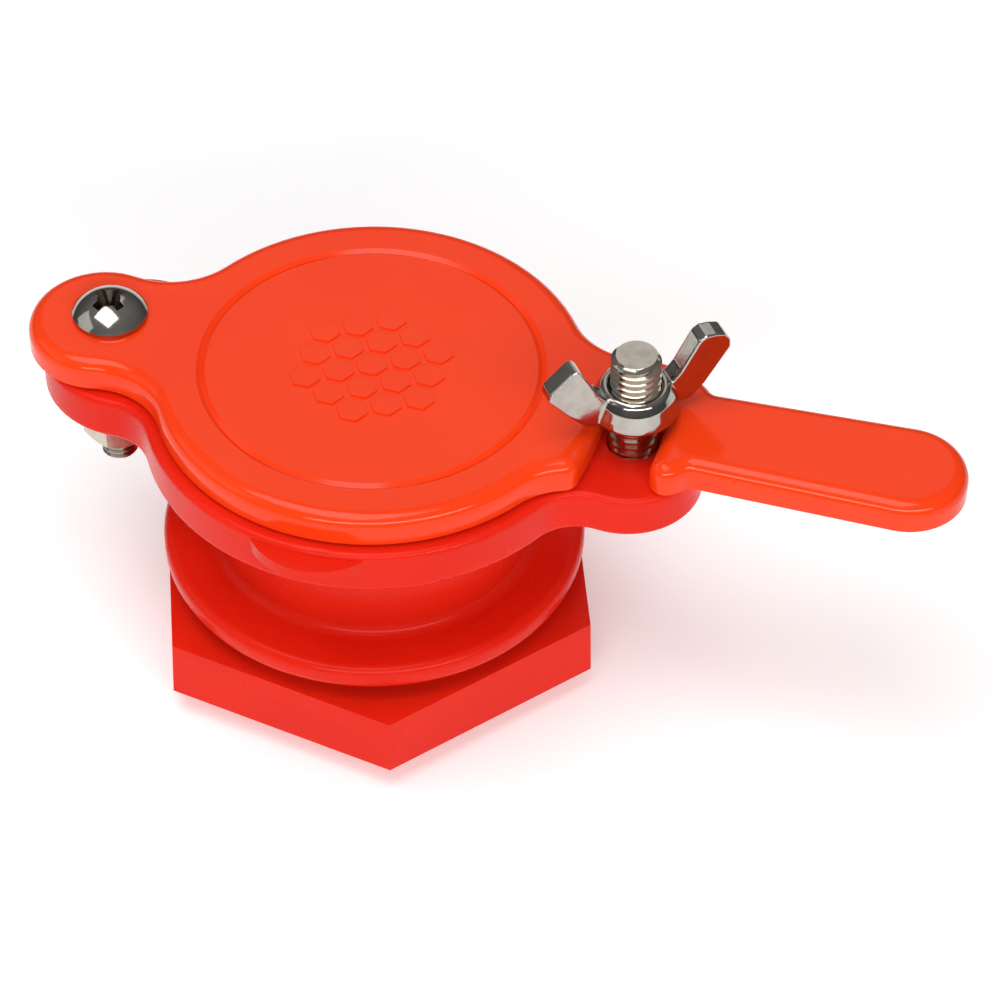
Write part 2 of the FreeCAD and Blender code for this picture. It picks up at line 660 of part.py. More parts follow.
def pivot_screw():
    """Pan head screw with a cross recess, standing with its head's underside at its own zero."""
    body = new_body("pivot_screw")
    radius, stem = size("screw_radius"), -SCREW_LENGTH
    head, rim = size("screw_head_radius"), size("screw_head_rim")
    top = rim + size("screw_head_dome")
    bevel = size("screw_pitch") / 2
    profile = new_sketch(body, "screw_profile", "XZ_Plane")
    corners = [
        (0, top), (0, stem), (radius - bevel, stem), (radius, stem + bevel), (radius, 0), (head, 0),
        (head, rim)]
    lines = [sketch_line(profile, here, after) for here, after in zip(corners, corners[1:])]
    rise = size("screw_head_dome").value
    dome_radius = (head.value ** 2 + rise ** 2) / (2 * rise)
    dome = arc(profile, FreeCAD.Vector(0, top.value - dome_radius, 0), dome_radius,
               vector(head, rim), vector(0, top))
    chain = lines + [dome]
    for element, following in zip(chain, chain[1:] + chain[:1]):
        profile.addConstraint(Sketcher.Constraint("Coincident", element, END, following, START))
    for element, corner in zip(chain, corners):
        hold(profile, element, START, *corner)
    profile.addConstraint(Sketcher.Constraint("PointOnObject", dome, CENTRE, V_AXIS))
    revolve(body, profile)

    recess = new_sketch(body, "cross_recess", lift=top)
    arm, half = head * 0.46, head * 0.13
    quarter = [(arm, half), (half, half), (half, arm)]
    corners = list(quarter)
    for _ in range(3):
        quarter = [(-y, x) for x, y in quarter]
        corners += quarter
    polygon(recess, corners)
    pocket(body, recess, top * 0.6)
    grip = SCREW_SEAT - PLATE_BOTTOM
    thread_grooves(body, radius, size("screw_pitch"), size("screw_pitch") * 0.55,
                   stem + bevel, SCREW_LENGTH - bevel - grip)
    bind(body, ".Placement.Base.x", -PIVOT_OFFSET)
    bind(body, ".Placement.Base.z", SCREW_SEAT)
    return body


def sketch_line(sketch, start, end):
    return sketch.addGeometry(Part.LineSegment(vector(*start), vector(*end)))


def pivot_washer():
    body = new_body("pivot_washer")
    ring = new_sketch(body, "washer")
    circle(ring, size("washer_radius"))
    circle(ring, size("screw_radius") + size("screw_clearance"))
    pad(body, ring, size("washer_thickness"))
    bind(body, ".Placement.Base.x", -PIVOT_OFFSET)
    bind(body, ".Placement.Base.z", WASHER_BOTTOM)
    return body


def hexagon_nut(label, flats, height, hole):
    """A nut with its corners turned down at both ends, standing on its own zero."""
    body = new_body(label)
    block = new_sketch(body, f"{label}_block")
    hexagon(block, flats, heading=30)
    circle(block, hole)
    pad(body, block, height)
    turned = new_sketch(body, f"{label}_turned", "XZ_Plane")
    corner, drop = flats / math.sqrt(3) + 0.5, flats * 0.06
    cone = (corner - flats / 2) * 0.5774
    for level, step in ((0, cone), (height, -cone)):
        polygon(turned, [(flats / 2 - drop / 4, level), (corner, level), (corner, step + level)])
    revolve(body, turned, "Groove")
    return body


def pivot_nut(label, order):
    """One of the two nuts locked against each other under the washer; order 1 is the upper."""
    body = hexagon_nut(label, size("screw_nut_flats"), size("screw_nut_height"), size("screw_radius"))
    bind(body, ".Placement.Base.x", -PIVOT_OFFSET)
    bind(body, ".Placement.Base.z", WASHER_BOTTOM - size("screw_nut_height") * order)
    return body


def clamp_bolt():
    """Hexagon bolt, threaded to its head, whose head is held in the pocket under the ear."""
    body = new_body("clamp_bolt")
    radius, shank = size("bolt_radius"), BOLT_LENGTH
    bevel = size("bolt_pitch") * 0.8
    head = new_sketch(body, "bolt_head", lift=-size("bolt_head_height"))
    hexagon(head, size("bolt_head_flats"), heading=30)
    pad(body, head, size("bolt_head_height"))
    stem = new_sketch(body, "bolt_stem", "XZ_Plane")
    polygon(stem, [
        (0, -bevel), (radius, -bevel), (radius, shank - bevel), (radius - bevel, shank), (0, shank)])
    revolve(body, stem)
    thread_grooves(body, radius, size("bolt_pitch"), size("bolt_pitch") * 0.55,
                   bevel, shank - bevel * 2)
    bind(body, ".Placement.Base.x", CLAMP_OFFSET)
    bind(body, ".Placement.Base.z", POCKET_TOP)
    return body


def wing_nut():
    """Conical boss with two wings that lean outward and upward."""
    body = new_body("wing_nut")
    bolt, height = size("bolt_radius"), size("boss_height")
    base, top = bolt + size("boss_base_wall"), bolt + size("boss_top_wall")
    hole = bolt + size("running_gap")
    boss = new_sketch(body, "boss", "XZ_Plane")
    step = height * 0.16
    polygon(boss, [(hole, 0), (base - step / 2, 0), (base, step), (top, height), (hole, height)])
    revolve(body, boss)

    wing = new_sketch(body, "wing", "XZ_Plane")
    tip = size("wing_span") / 2
    peak = size("wing_height")
    root = (hole + top) / 2
    polygon(wing, [
        (root, step), (base, step), (base + tip * 0.3, peak * 0.27), (tip, peak * 0.76),
        (tip - 0.8, peak), (tip * 0.7, peak), (base * 0.93, size("wing_depth") * 0.86),
        (root, size("wing_depth") * 0.8)])
    blade = pad(body, wing, size("wing_thickness"), both_ways=True)
    pair = body.newObject("PartDesign::PolarPattern", "wings")
    pair.Originals = [blade]
    pair.Axis = (origin_feature(body, "Z_Axis"), [""])
    pair.Angle = 360
    pair.Occurrences = 2
    body.Tip = pair
    rebuild(pair)

    def tip_edges(edge):
        """The edges across each wing's tip."""
        box = edge.BoundBox
        return box.ZMin > peak.value * 0.7 and box.ZMax < peak.value + 0.1 and box.XLength < 0.01

    fillet(body, pair, edges_where(pair, tip_edges), size("wing_thickness") * 0.4)
    bind(body, ".Placement.Base.x", CLAMP_OFFSET)
    bind(body, ".Placement.Base.z", WING_NUT_BOTTOM)
    body.Placement.Rotation = FreeCAD.Rotation(FreeCAD.Vector(0, 0, 1), size("wing_heading").value)
    bind(body, ".Placement.Rotation.Angle", size("wing_heading"))
    return body


# ---- assembly ------------------------------------------------------------------------------

pieces = [
    valve_body(), gate(), flange_gasket(), back_nut(),
    pivot_screw(), pivot_washer(), pivot_nut("pivot_nut", 1), pivot_nut("pivot_lock_nut", 2),
    clamp_bolt(), wing_nut(),
]
doc.recompute()

for thing in doc.Objects:
    if {"Invalid", "Error"} & set(thing.State):
        raise RuntimeError(f"{thing.Name} failed: {thing.State}")

os.makedirs("parts", exist_ok=True)
for piece in pieces:
    shape = piece.Shape
    if shape.isNull() or not shape.isValid() or len(shape.Solids) != 1:
        raise RuntimeError(f"{piece.Label} is not one valid solid")
    shape.exportStep(f"parts/{piece.Label}.step")
    print(f"{piece.Label}: {shape.Volume / 1000:.2f} cm3")
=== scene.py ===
"""Looks for the swing-gate valve: materials, fasteners, studio and camera.

Lengths are in metres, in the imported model's frame: +Z along the bore towards the gate,
+X towards the handle.
"""
import bmesh
import bpy
import json
import math
from mathutils import Matrix, Vector


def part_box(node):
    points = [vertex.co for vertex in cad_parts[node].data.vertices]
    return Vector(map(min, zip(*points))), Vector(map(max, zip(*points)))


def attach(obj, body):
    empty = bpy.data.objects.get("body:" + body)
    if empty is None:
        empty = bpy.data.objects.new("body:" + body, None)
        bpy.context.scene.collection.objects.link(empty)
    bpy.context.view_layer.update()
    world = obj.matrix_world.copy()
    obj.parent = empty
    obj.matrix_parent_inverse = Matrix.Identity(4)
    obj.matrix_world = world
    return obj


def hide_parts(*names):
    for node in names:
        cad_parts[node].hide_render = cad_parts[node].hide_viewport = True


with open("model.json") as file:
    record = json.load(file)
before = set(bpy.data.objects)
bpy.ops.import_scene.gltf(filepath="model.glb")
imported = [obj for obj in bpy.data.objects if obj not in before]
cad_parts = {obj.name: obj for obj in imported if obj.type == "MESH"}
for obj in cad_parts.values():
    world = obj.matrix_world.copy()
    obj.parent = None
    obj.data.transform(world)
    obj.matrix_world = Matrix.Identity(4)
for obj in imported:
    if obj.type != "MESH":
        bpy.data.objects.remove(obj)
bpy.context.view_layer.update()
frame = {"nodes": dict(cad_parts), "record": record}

MM = 0.001
TURN = 2 * math.pi
FLOOR_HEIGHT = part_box("valve_body")[0].z

# Clamp bolt, M8
BOLT_RADIUS = 3.97 * MM
BOLT_PITCH = 1.25 * MM
BOLT_HEAD_FLATS = 13 * MM
BOLT_HEAD_HEIGHT = 5.3 * MM

# Pivot screw and its nuts, M6
SCREW_RADIUS = 3 * MM
SCREW_PITCH = 1 * MM
SCREW_HEAD_RADIUS = 6 * MM
SCREW_HEAD_RIM = 0.9 * MM
SCREW_HEAD_HEIGHT = 3.8 * MM
SCREW_NUT_FLATS = 10 * MM
RECESS_HEADING = 60

# Wing nut; its boss tapers in two steps
WING_THICKNESS = 3.4 * MM
WING_HEADING = 38
BOSS_BASE_RADIUS = 6.9 * MM
BOSS_WAIST_RADIUS = 6.2 * MM
BOSS_TOP_RADIUS = 5.5 * MM
BOSS_HEIGHT = 5.6 * MM
WING_ROUNDING_STEPS = 12
VOXEL = 0.16 * MM

# Threads, in shares of the pitch: the widths of the crest and the root, as standard threads have
# them, the depth, and a place on the flank
CREST_SHARE = 0.125
ROOT_SHARE = 0.25
THREAD_DEPTH_SHARE = 0.58
FLANK_PHASE = 0.28
# A distance and an area that count as nothing
SAME_POINT = 1e-8
NO_AREA = 1e-14

# Hexagons: the round end face as a share of the flats, the slope of the turned corners in
# degrees, and the bevel of a hole as a share of its radius
HEXAGON_FACE_SHARE = 0.95
HEXAGON_SLOPE = 28
HEXAGON_SINK_SHARE = 0.08
HEXAGON_POINTS = 144

# The photo's view: angles in degrees, the eye's place seen from the middle of the gate's top
# face, and the camera's sensor and lens in mm
VIEW_AZIMUTH = 14.7
VIEW_ELEVATION = 45.16
VIEW_ROLL = 0.7
VIEW_DISTANCE = 650 * MM
VIEW_SHIFT_RIGHT = 20.3 * MM
VIEW_SHIFT_DOWN = 21.3 * MM
GATE_TOP = 38.3 * MM
SENSOR_WIDTH = 36
LENS = 148.3


# ---- mesh helpers --------------------------------------------------------------------------

def mesh_object(name, build):
    """A new mesh object whose mesh the function build fills."""
    mesh = bpy.data.meshes.new(name)
    sheet = bmesh.new()
    build(sheet)
    bmesh.ops.remove_doubles(sheet, verts=sheet.verts, dist=1e-7)
    bmesh.ops.recalc_face_normals(sheet, faces=sheet.faces)
    sheet.to_mesh(mesh)
    sheet.free()
    piece = bpy.data.objects.new(name, mesh)
    bpy.context.scene.collection.objects.link(piece)
    return piece


def smooth(piece, angle):
    """Smooth shading that keeps edges sharper than the angle, in degrees."""
    mesh = piece.data
    mesh.polygons.foreach_set("use_smooth", [True] * len(mesh.polygons))
    mesh.set_sharp_from_angle(angle=math.radians(angle))


def apply_modifiers(piece):
    """Turns the piece's modifiers into its mesh."""
    graph = bpy.context.evaluated_depsgraph_get()
    finished = bpy.data.meshes.new_from_object(piece.evaluated_get(graph))
    piece.modifiers.clear()
    piece.data = finished
    finished.name = piece.name


def combine(piece, tool, operation, crosses_itself=False):
    """Adds a boolean with the tool to the piece's modifiers."""
    change = piece.modifiers.new(operation.lower(), "BOOLEAN")
    change.operation = operation
    change.solver = "EXACT"
    change.use_self = crosses_itself
    change.object = tool


def skin(sheet, rings, closed=False):
    """Joins rings of points, each with the same count, into a solid.

    A closed skin joins its last ring to its first. Any other gets a face at each end.
    """
    rows = [[sheet.verts.new(point) for point in ring] for ring in rings]
    if closed:
        rows.append(rows[0])
    for lower, upper in zip(rows, rows[1:]):
        for index in range(len(lower)):
            after = (index + 1) % len(lower)
            sheet.faces.new((lower[index], lower[after], upper[after], upper[index]))
    if not closed:
        sheet.faces.new(list(reversed(rows[0])))
        sheet.faces.new(rows[-1])


def ring_points(radius, height, count=96):
    """Points on a circle round the Z axis."""
    angles = [TURN * step / count for step in range(count)]
    return [(radius * math.cos(angle), radius * math.sin(angle), height) for angle in angles]


def lathe(sheet, profile, count=96, closed=False):
    """Turns a profile of (radius, height) about the Z axis."""
    skin(sheet, [ring_points(radius, height, count) for radius, height in profile], closed)


def hexagon_reach(flats, angle):
    """How far a hexagon reaches at an angle; a corner lies at 30 degrees, a flat's middle at 0."""
    from_corner = abs(angle % (TURN / 6) - TURN / 12)
    return flats / 2 / math.cos(TURN / 12 - from_corner)


# ---- threads -------------------------------------------------------------------------------

def thread_radius(phase, major, pitch):
    """A rounded V thread's radius at a phase of its pitch; the crests are at whole numbers."""
    across = abs((phase + 0.5) % 1 - 0.5)
    crest = CREST_SHARE / 2
    root = 0.5 - ROOT_SHARE / 2
    share = min(max((across - crest) / (root - crest), 0), 1)
    return major - pitch * THREAD_DEPTH_SHARE * share


def threaded_rod(sheet, major, pitch, bottom, top, start_bevel, end_bevel, count=72):
    """A rod with a helical thread whose rows follow the helix, bevelled at both ends."""
    crest = CREST_SHARE / 2
    root = 0.5 - ROOT_SHARE / 2
    phases = [-crest, 0, crest, FLANK_PHASE, root, 0.5, 1 - root, 1 - FLANK_PHASE]
    turns = int((top - bottom) / pitch) + 3
    rows = []
    for turn in range(-1, turns):
        for phase in phases:
            row = []
            for step in range(count + 1):
                lead = step / count
                height = min(max(bottom + (turn + phase + lead - 1) * pitch, bottom), top)
                start_limit = major - start_bevel + height - bottom
                end_limit = major - end_bevel + top - height
                thread = thread_radius((height - bottom) / pitch - lead, major, pitch)
                radius = min(thread, start_limit, end_limit)
                angle = TURN * lead
                point = (radius * math.cos(angle), radius * math.sin(angle), height)
                row.append(sheet.verts.new(point))
            rows.append(row)
    for lower, upper in zip(rows, rows[1:]):
        for index in range(count):
            sheet.faces.new((lower[index], lower[index + 1], upper[index + 1], upper[index]))
    # rows that were held at the rod's ends lie on each other there
    bmesh.ops.remove_doubles(sheet, verts=sheet.verts, dist=SAME_POINT)
    bmesh.ops.dissolve_degenerate(sheet, dist=SAME_POINT, edges=sheet.edges)
    flat = [face for face in sheet.faces if face.calc_area() < NO_AREA]
    bmesh.ops.delete(sheet, geom=flat, context="FACES_ONLY")
    open_edges = [edge for edge in sheet.edges if edge.is_boundary]
    bmesh.ops.holes_fill(sheet, edges=open_edges, sides=0)


# ---- materials -----------------------------------------------------------------------------

def new_material(name, base, roughness, metallic=0.0, specular=0.5):
    """A principled material with its plain sockets set, and its shader."""
    material = bpy.data.materials.new(name)
    material.use_nodes = True
    shader = material.node_tree.nodes["Principled BSDF"]
    shader.inputs["Base Color"].default_value = (*base, 1)
    shader.inputs["Roughness"].default_value = roughness
    shader.inputs["Metallic"].default_value = metallic
    shader.inputs["Specular IOR Level"].default_value = specular
    return material, shader


def noise_texture(tree, scale, detail=3.0, roughness=0.5, stretch=(1, 1, 1)):
    """Noise fixed to the piece, with its features about 1 / scale metres across."""
    place = tree.nodes.new("ShaderNodeTexCoord")
    mapping = tree.nodes.new("ShaderNodeMapping")
    mapping.inputs["Scale"].default_value = stretch
    texture = tree.nodes.new("ShaderNodeTexNoise")
    texture.inputs["Scale"].default_value = scale
    texture.inputs["Detail"].default_value = detail
    texture.inputs["Roughness"].default_value = roughness
    tree.links.new(place.outputs["Object"], mapping.inputs["Vector"])
    tree.links.new(mapping.outputs["Vector"], texture.inputs["Vector"])
    return texture.outputs["Fac"]


def ramp(tree, source, low, high, start=0.3, end=0.7):
    """Maps a texture's value to a number between low and high."""
    node = tree.nodes.new("ShaderNodeMapRange")
    node.inputs["From Min"].default_value = start
    node.inputs["From Max"].default_value = end
    node.inputs["To Min"].default_value = low
    node.inputs["To Max"].default_value = high
    tree.links.new(source, node.inputs["Value"])
    return node.outputs["Result"]


def blend_colours(tree, source, first, second):
    """Mixes two colours by a value."""
    node = tree.nodes.new("ShaderNodeMix")
    node.data_type = "RGBA"
    node.inputs["A"].default_value = (*first, 1)
    node.inputs["B"].default_value = (*second, 1)
    tree.links.new(source, node.inputs["Factor"])
    return node.outputs["Result"]


def add_bump(tree, shader, source, height, strength=1.0):
    """Raises the surface by the source times height, in metres."""
    node = tree.nodes.new("ShaderNodeBump")
    node.inputs["Strength"].default_value = strength
    node.inputs["Distance"].default_value = height
    tree.links.new(source, node.inputs["Height"])
    tree.links.new(node.outputs["Normal"], shader.inputs["Normal"])


def moulded_plastic(name, base, deep, roughness, specular):
    """Glossy moulded plastic: slight flow marks in colour and gloss, and a faint ripple."""
    material, shader = new_material(name, base, roughness, specular=specular)
    tree = material.node_tree
    flow = noise_texture(tree, 45, detail=2, stretch=(1, 1, 2.5))
    tree.links.new(blend_colours(tree, ramp(tree, flow, 0, 1), base, deep), shader.inputs["Base Color"])
    gloss = noise_texture(tree, 160, detail=4, roughness=0.6)
    tree.links.new(ramp(tree, gloss, roughness * 0.8, roughness * 1.25), shader.inputs["Roughness"])
    add_bump(tree, shader, noise_texture(tree, 220, detail=2), 0.02 * MM, strength=0.5)
    return material


def rubber(name, base):
    """Matt black rubber with a fine grain."""
    material, shader = new_material(name, base, 0.8, specular=0.3)
    tree = material.node_tree
    grain = noise_texture(tree, 1800, detail=3)
    tree.links.new(ramp(tree, grain, 0.7, 0.9), shader.inputs["Roughness"])
    add_bump(tree, shader, grain, 0.05 * MM, strength=0.4)
    return material


def bright_metal(name, base, tarnish, roughness):
    """Plated steel with faint stains."""
    material, shader = new_material(name, base, roughness, metallic=1.0)
    tree = material.node_tree
    stain = noise_texture(tree, 350, detail=5, roughness=0.65)
    tree.links.new(blend_colours(tree, ramp(tree, stain, 0, 1, 0.45, 0.8), base, tarnish),
                   shader.inputs["Base Color"])
    tree.links.new(ramp(tree, stain, roughness * 0.7, roughness * 1.6), shader.inputs["Roughness"])
    add_bump(tree, shader, noise_texture(tree, 700, detail=2), 0.02 * MM, strength=0.4)
    return material


def paint(piece, material):
    """Gives the whole piece one material."""
    piece.data.materials.clear()
    piece.data.materials.append(material)


BODY_PLASTIC = moulded_plastic("body_plastic", base=(0.77, 0.019, 0.006), deep=(0.71, 0.015, 0.005),
                               roughness=0.24, specular=0.12)
GATE_PLASTIC = moulded_plastic("gate_plastic", base=(0.93, 0.052, 0.006), deep=(0.90, 0.045, 0.005),
                               roughness=0.13, specular=0.26)
GASKET_RUBBER = rubber("gasket_rubber", base=(0.02, 0.02, 0.02))
BRIGHT_STEEL = bright_metal("bright_steel", base=(0.47, 0.44, 0.40), tarnish=(0.36, 0.33, 0.29),
                            roughness=0.09)
PLATED_STEEL = bright_metal("plated_steel", base=(0.58, 0.53, 0.45), tarnish=(0.42, 0.37, 0.30),
                            roughness=0.12)
# painted shade: a dark metal for the inside of the screw's cross recess, standing in for the shade that
# falls there
RECESS_PAINTED_SHADE = bright_metal("recess_painted_shade", base=(0.16, 0.13, 0.09), tarnish=(0.07, 0.05, 0.03),
                            roughness=0.35)

SLOT_MATERIALS = {
    "body_plastic": BODY_PLASTIC,
    "gate_plastic": GATE_PLASTIC,
    "gasket_rubber": GASKET_RUBBER,
    "bright_steel": BRIGHT_STEEL,
    "plated_steel": PLATED_STEEL,
}
NODE_SLOTS = {part["node"]: part["material_slot"] for part in frame["record"]["subparts"]}


def install(piece, node, body, turn=0.0):
    """Puts a piece made about its own axis where a CAD node is, to stand for that node."""
    low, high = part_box(node)
    middle = (low + high) / 2
    foot = Matrix.Translation((middle.x, middle.y, low.z))
    piece.matrix_world = foot @ Matrix.Rotation(turn, 4, "Z")
    paint(piece, SLOT_MATERIALS[NODE_SLOTS[node]])
    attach(piece, body)
    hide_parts(node)


# ---- fasteners -----------------------------------------------------------------------------

def add_rod(sheet, **sizes):
    """Adds a threaded rod to a mesh under way."""
    rod = bmesh.new()
    threaded_rod(rod, **sizes)
    scrap = bpy.data.meshes.new("rod")
    rod.to_mesh(scrap)
    rod.free()
    sheet.from_mesh(scrap)
    bpy.data.meshes.remove(scrap)


def hexagon_block(sheet, flats, top, hole=None, turned_top=1.0):
    """A hexagonal block on z = 0, with its corners turned down at both ends, and maybe a hole.

    A turned_top below 1 turns the corners down less at the top.
    """
    face = flats / 2 * HEXAGON_FACE_SHARE

    def side(level, slope):
        """The edge where the flat sides meet the turned cone, which falls away at the slope."""
        points = []
        for index in range(HEXAGON_POINTS):
            angle = TURN * index / HEXAGON_POINTS
            reach = hexagon_reach(flats, angle)
            height = level + (reach - face) * slope
            points.append((reach * math.cos(angle), reach * math.sin(angle), height))
        return points

    slope = math.tan(math.radians(HEXAGON_SLOPE))
    rings = [ring_points(face, 0, HEXAGON_POINTS), side(0, slope),
             side(top, -slope * turned_top), ring_points(face, top, HEXAGON_POINTS)]
    if hole:
        sink = hole * HEXAGON_SINK_SHARE
        rings += [ring_points(hole + sink, top, HEXAGON_POINTS),
                  ring_points(hole, top - sink, HEXAGON_POINTS),
                  ring_points(hole, sink, HEXAGON_POINTS),
                  ring_points(hole + sink, 0, HEXAGON_POINTS)]
    skin(sheet, rings, closed=bool(hole))


def clamp_bolt():
    """M8 hexagon bolt with a helical thread up to its head."""
    low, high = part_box("clamp_bolt")
    rooted = 0.3 * MM

    def build(sheet):
        hexagon_block(sheet, BOLT_HEAD_FLATS, BOLT_HEAD_HEIGHT, turned_top=0.3)
        add_rod(sheet, major=BOLT_RADIUS, pitch=BOLT_PITCH, bottom=BOLT_HEAD_HEIGHT - rooted,
                top=high.z - low.z, start_bevel=0.2 * MM, end_bevel=0.75 * MM)

    piece = mesh_object("clamp_bolt_threaded", build)
    smooth(piece, 40)
    install(piece, "clamp_bolt", "valve_body")


def wing_nut():
    """Cast wing nut: a turned boss and two flat wings that lean out, with soft edges all over."""
    low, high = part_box("wing_nut")
    height = (high.z - low.z) / MM
    hole = BOLT_RADIUS + 0.08 * MM
    # the casting is uneven: one wing's end is cut off square to its lean, the other's is fuller
    tips = {1: [(15.3, 9.4), (15.2, 11.0), (14.3, 12.3), (12.8, 12.8), (11.0, height)],
            -1: [(15.3, 8.3), (15.0, 9.5), (11.4, 12.7), (10.6, height)]}

    def boss(sheet):
        """The boss, from its hole outwards at the bottom and back inwards at the top."""
        profile = [(hole, 0), (BOSS_BASE_RADIUS - 0.9 * MM, 0),
                   (BOSS_BASE_RADIUS - 0.25 * MM, 0.25 * MM), (BOSS_BASE_RADIUS, 0.9 * MM),
                   (BOSS_BASE_RADIUS - 0.15 * MM, 2.0 * MM), (BOSS_WAIST_RADIUS, 3.9 * MM),
                   (BOSS_TOP_RADIUS, BOSS_HEIGHT - 0.45 * MM),
                   (BOSS_TOP_RADIUS - 0.5 * MM, BOSS_HEIGHT),
                   (hole + 0.45 * MM, BOSS_HEIGHT), (hole, BOSS_HEIGHT - 0.4 * MM)]
        lathe(sheet, profile, closed=True)

    def wing(sheet, side):
        """One wing: its outline in the plane through the axis, in mm, given its thickness."""
        outline = [(5.0, 0.6), (7.6, 0.5), (9.0, 0.9), (11.2, 3.2), *tips[side],
                   (9.9, 12.3), (7.0, 6.9), (5.0, 4.6)]
        skin(sheet, [[(side * radius * MM, WING_THICKNESS / 2 * flank, level * MM)
                      for radius, level in outline] for flank in (-1, 1)])

    piece = mesh_object("wing_nut_cast", boss)
    for side, label in ((1, "wing_near"), (-1, "wing_far")):
        blade = mesh_object(label, lambda sheet: wing(sheet, side))
        combine(piece, blade, "UNION")
        apply_modifiers(piece)
        bpy.data.objects.remove(blade)
    remesh = piece.modifiers.new("skin", "REMESH")
    remesh.mode = "VOXEL"
    remesh.voxel_size = VOXEL
    soften = piece.modifiers.new("soften", "SMOOTH")
    soften.factor = 0.5
    soften.iterations = WING_ROUNDING_STEPS
    apply_modifiers(piece)
    smooth(piece, 70)
    install(piece, "wing_nut", "wing_nut", turn=math.radians(WING_HEADING))


def pivot_screw():
    """M6 pan head screw: domed head with a tapered cross recess, and a helical thread."""
    low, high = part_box("pivot_screw")
    top = high.z - low.z
    head_bottom = top - SCREW_HEAD_HEIGHT
    dome_height = SCREW_HEAD_HEIGHT - SCREW_HEAD_RIM
    dome_radius = (SCREW_HEAD_RADIUS ** 2 + dome_height ** 2) / (2 * dome_height)
    dome_middle = top - dome_radius

    def head(sheet):
        """The head, from its underside over the rim to the top of the dome."""
        widest = math.asin(SCREW_HEAD_RADIUS / dome_radius)
        steps = 20
        profile = [(0.3 * MM, head_bottom), (SCREW_HEAD_RADIUS - 0.35 * MM, head_bottom),
                   (SCREW_HEAD_RADIUS - 0.08 * MM, head_bottom + 0.12 * MM),
                   (SCREW_HEAD_RADIUS, head_bottom + 0.4 * MM),
                   (SCREW_HEAD_RADIUS, head_bottom + SCREW_HEAD_RIM)]
        for step in range(1, steps):
            tilt = widest * (1 - step / steps)
            profile.append((dome_radius * math.sin(tilt), dome_middle + dome_radius * math.cos(tilt)))
        lathe(sheet, profile)

    def blades(sheet):
        """The cross of the recess: two blades that cross and grow narrower and thinner downwards."""
        floor_level = top - 2.9 * MM
        above = top + 1 * MM
        for heading in (RECESS_HEADING, RECESS_HEADING + 90):
            turn = Matrix.Rotation(math.radians(heading), 4, "Z")
            skin(sheet, [[turn @ Vector((across * reach, along * half_width, level))
                          for across, along in ((-1, -1), (1, -1), (1, 1), (-1, 1))]
                         for reach, half_width, level in ((1.3 * MM, 0.5 * MM, floor_level),
                                                          (4.0 * MM, 0.95 * MM, above))])

    def cone(sheet):
        """The middle of the recess, where the blades meet."""
        lathe(sheet, [(0.5 * MM, top - 3.1 * MM), (2.2 * MM, top + 0.4 * MM)], count=24)

    piece = mesh_object("pivot_screw_cross", head)
    cutters = [mesh_object("recess_blades", blades), mesh_object("recess_cone", cone)]
    for cutter in cutters:
        combine(piece, cutter, "DIFFERENCE", crosses_itself=True)
    edge = piece.modifiers.new("edge", "BEVEL")
    edge.width = 0.09 * MM
    edge.segments = 2
    edge.limit_method = "ANGLE"
    edge.angle_limit = math.radians(35)
    apply_modifiers(piece)
    for cutter in cutters:
        bpy.data.objects.remove(cutter)

    whole = bmesh.new()
    whole.from_mesh(piece.data)
    add_rod(whole, major=SCREW_RADIUS, pitch=SCREW_PITCH, bottom=0.0, top=head_bottom + 0.2 * MM,
            start_bevel=0.7 * MM, end_bevel=0.1 * MM)
    whole.to_mesh(piece.data)
    whole.free()
    smooth(piece, 32)
    install(piece, "pivot_screw", "valve_body")

    # painted shade: the recess faces, which lie inside the head under the dome, get a dark metal that
    # stands in for the shade in the recess
    piece.data.materials.append(RECESS_PAINTED_SHADE)
    recess_reach = SCREW_HEAD_RADIUS * 0.75
    for face in piece.data.polygons:
        spread = face.center.xy.length
        if spread > recess_reach or face.center.z < head_bottom + 0.3 * MM:
            continue
        dome_level = dome_middle + math.sqrt(dome_radius ** 2 - spread ** 2)
        if face.center.z < dome_level - 0.12 * MM:
            face.material_index = 1


def hexagon_nut(node, name):
    """One of the M6 nuts on the pivot screw."""
    low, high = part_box(node)

    def build(sheet):
        hexagon_block(sheet, SCREW_NUT_FLATS, high.z - low.z, hole=SCREW_RADIUS)

    piece = mesh_object(name, build)
    smooth(piece, 25)
    install(piece, node, "valve_body")


def washer():
    """The pivot's washer, stamped: its lower outer edge is rounded, the others are crisp."""
    low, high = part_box("pivot_washer")
    outside = (high.x - low.x) / 2
    inside = SCREW_RADIUS + 0.25 * MM
    thickness = high.z - low.z
    rounding = 0.3 * MM
    crisp = rounding / 4

    def build(sheet):
        profile = [(inside, rounding / 2), (inside + rounding / 2, 0), (outside - rounding, 0),
                   (outside - rounding * 0.3, rounding * 0.3), (outside, rounding),
                   (outside, thickness - crisp), (outside - crisp, thickness),
                   (inside + crisp, thickness), (inside, thickness - crisp)]
        lathe(sheet, profile, closed=True)

    piece = mesh_object("pivot_washer_stamped", build)
    smooth(piece, 40)
    install(piece, "pivot_washer", "valve_body")


for node, part in frame["nodes"].items():
    paint(part, SLOT_MATERIALS[NODE_SLOTS[node]])

clamp_bolt()
wing_nut()
pivot_screw()
washer()
hexagon_nut("pivot_nut", "pivot_nut_hex")
hexagon_nut("pivot_lock_nut", "pivot_lock_nut_hex")


# ---- studio --------------------------------------------------------------------------------

def floor():
    """A wide white panel, faintly lit from behind, under the spigot's end."""
    def build(sheet):
        bmesh.ops.create_grid(sheet, x_segments=1, y_segments=1, size=3.0)

    plane = mesh_object("floor", build)
    plane.location.z = FLOOR_HEIGHT - 0.02 * MM
    material, shader = new_material("floor_panel", (0.92, 0.92, 0.92), 0.8, specular=0.1)
    shader.inputs["Emission Color"].default_value = (1, 1, 1, 1)
    shader.inputs["Emission Strength"].default_value = 0.25
    paint(plane, material)


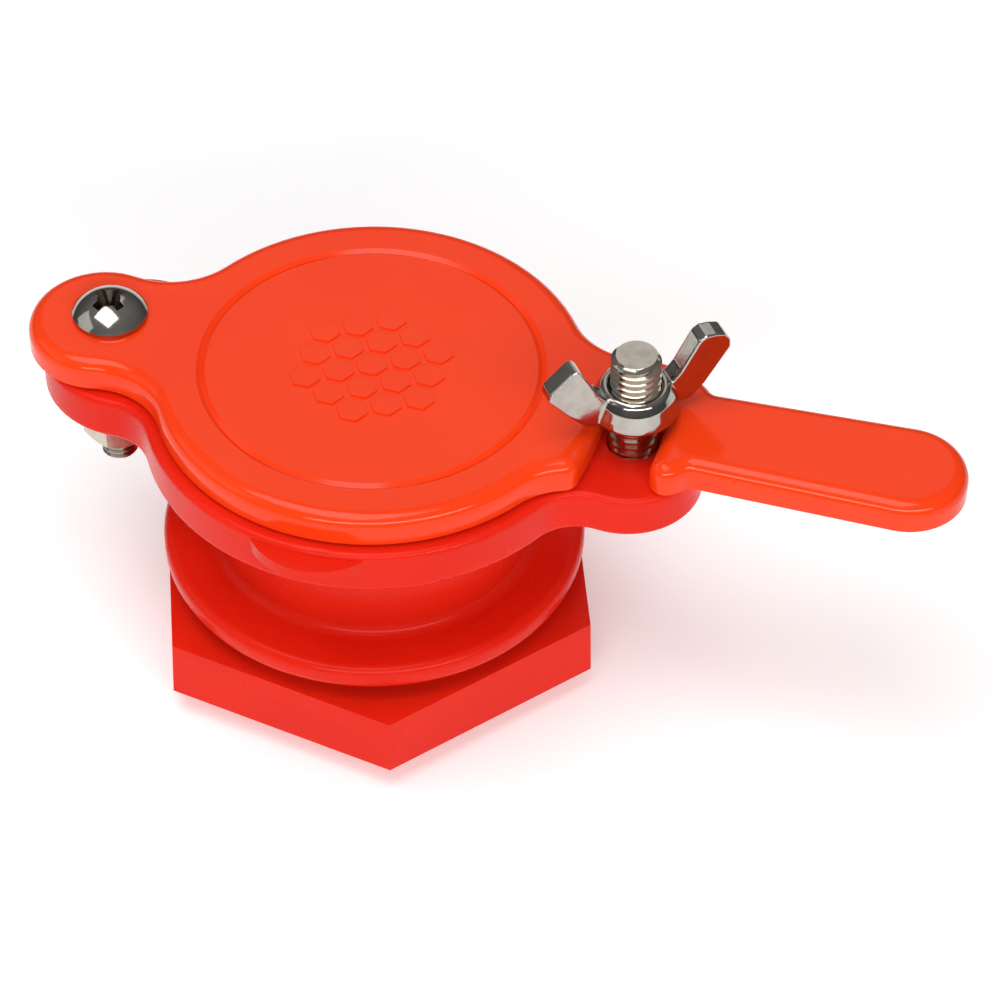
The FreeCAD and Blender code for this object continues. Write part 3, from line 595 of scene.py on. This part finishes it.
def sky():
    """A soft grey room, darker near the horizon."""
    world = bpy.data.worlds.new("room")
    bpy.context.scene.world = world
    world.use_nodes = True
    tree = world.node_tree
    background = tree.nodes["Background"]
    place = tree.nodes.new("ShaderNodeTexCoord")
    split = tree.nodes.new("ShaderNodeSeparateXYZ")
    tree.links.new(place.outputs["Generated"], split.inputs["Vector"])
    height = ramp(tree, split.outputs["Z"], 0, 1, start=-0.1, end=1.0)
    horizon_grey = (0.05, 0.05, 0.05)
    zenith_grey = (0.28, 0.28, 0.28)
    tree.links.new(blend_colours(tree, height, horizon_grey, zenith_grey), background.inputs["Color"])


def direction(azimuth, elevation):
    """A unit vector; azimuth 0 is at the front, -Y, and turns towards +X, in degrees."""
    turn = math.radians(azimuth)
    lift = math.radians(elevation)
    return Vector((math.sin(turn) * math.cos(lift), -math.cos(turn) * math.cos(lift), math.sin(lift)))


def softbox(name, azimuth, elevation, distance, width, height, power):
    """A rectangular light aimed at the valve, in metres and watts."""
    light = bpy.data.lights.new(name, "AREA")
    light.shape = "RECTANGLE"
    light.size = width
    light.size_y = height
    light.energy = power
    lamp = bpy.data.objects.new(name, light)
    bpy.context.scene.collection.objects.link(lamp)
    towards = direction(azimuth, elevation)
    aim = towards.to_track_quat("Z", "Y").to_matrix().to_4x4()
    lamp.matrix_world = Matrix.Translation(towards * distance) @ aim


def camera():
    """Looks down at the gate from the front, slightly from the handle's side."""
    azimuth = math.radians(VIEW_AZIMUTH)
    roll = math.radians(VIEW_ROLL)
    back = direction(VIEW_AZIMUTH, VIEW_ELEVATION)
    level = Vector((math.cos(azimuth), math.sin(azimuth), 0))
    upright = back.cross(level)
    right = level * math.cos(roll) + upright * math.sin(roll)
    up = upright * math.cos(roll) - level * math.sin(roll)
    target = Vector((0, 0, GATE_TOP)) + right * VIEW_SHIFT_RIGHT - up * VIEW_SHIFT_DOWN
    place = Matrix.Translation(target + back * VIEW_DISTANCE)
    data = bpy.data.cameras.new("camera")
    data.sensor_width = SENSOR_WIDTH
    data.lens = LENS
    data.clip_start = 0.01
    eye = bpy.data.objects.new("camera", data)
    bpy.context.scene.collection.objects.link(eye)
    eye.matrix_world = place @ Matrix((right, up, back)).transposed().to_4x4()
    bpy.context.scene.camera = eye


floor()
sky()
softbox("overhead", azimuth=-30, elevation=78, distance=1.2, width=0.95, height=0.75, power=8.0)
softbox("key", azimuth=24, elevation=31, distance=1.1, width=1.5, height=0.15, power=7.4)
softbox("left", azimuth=-70, elevation=30, distance=1.0, width=0.8, height=0.5, power=0.8)
softbox("back", azimuth=195, elevation=45, distance=1.0, width=0.6, height=0.4, power=0.42)
camera()
bpy.context.scene.view_settings.view_transform = "Standard"
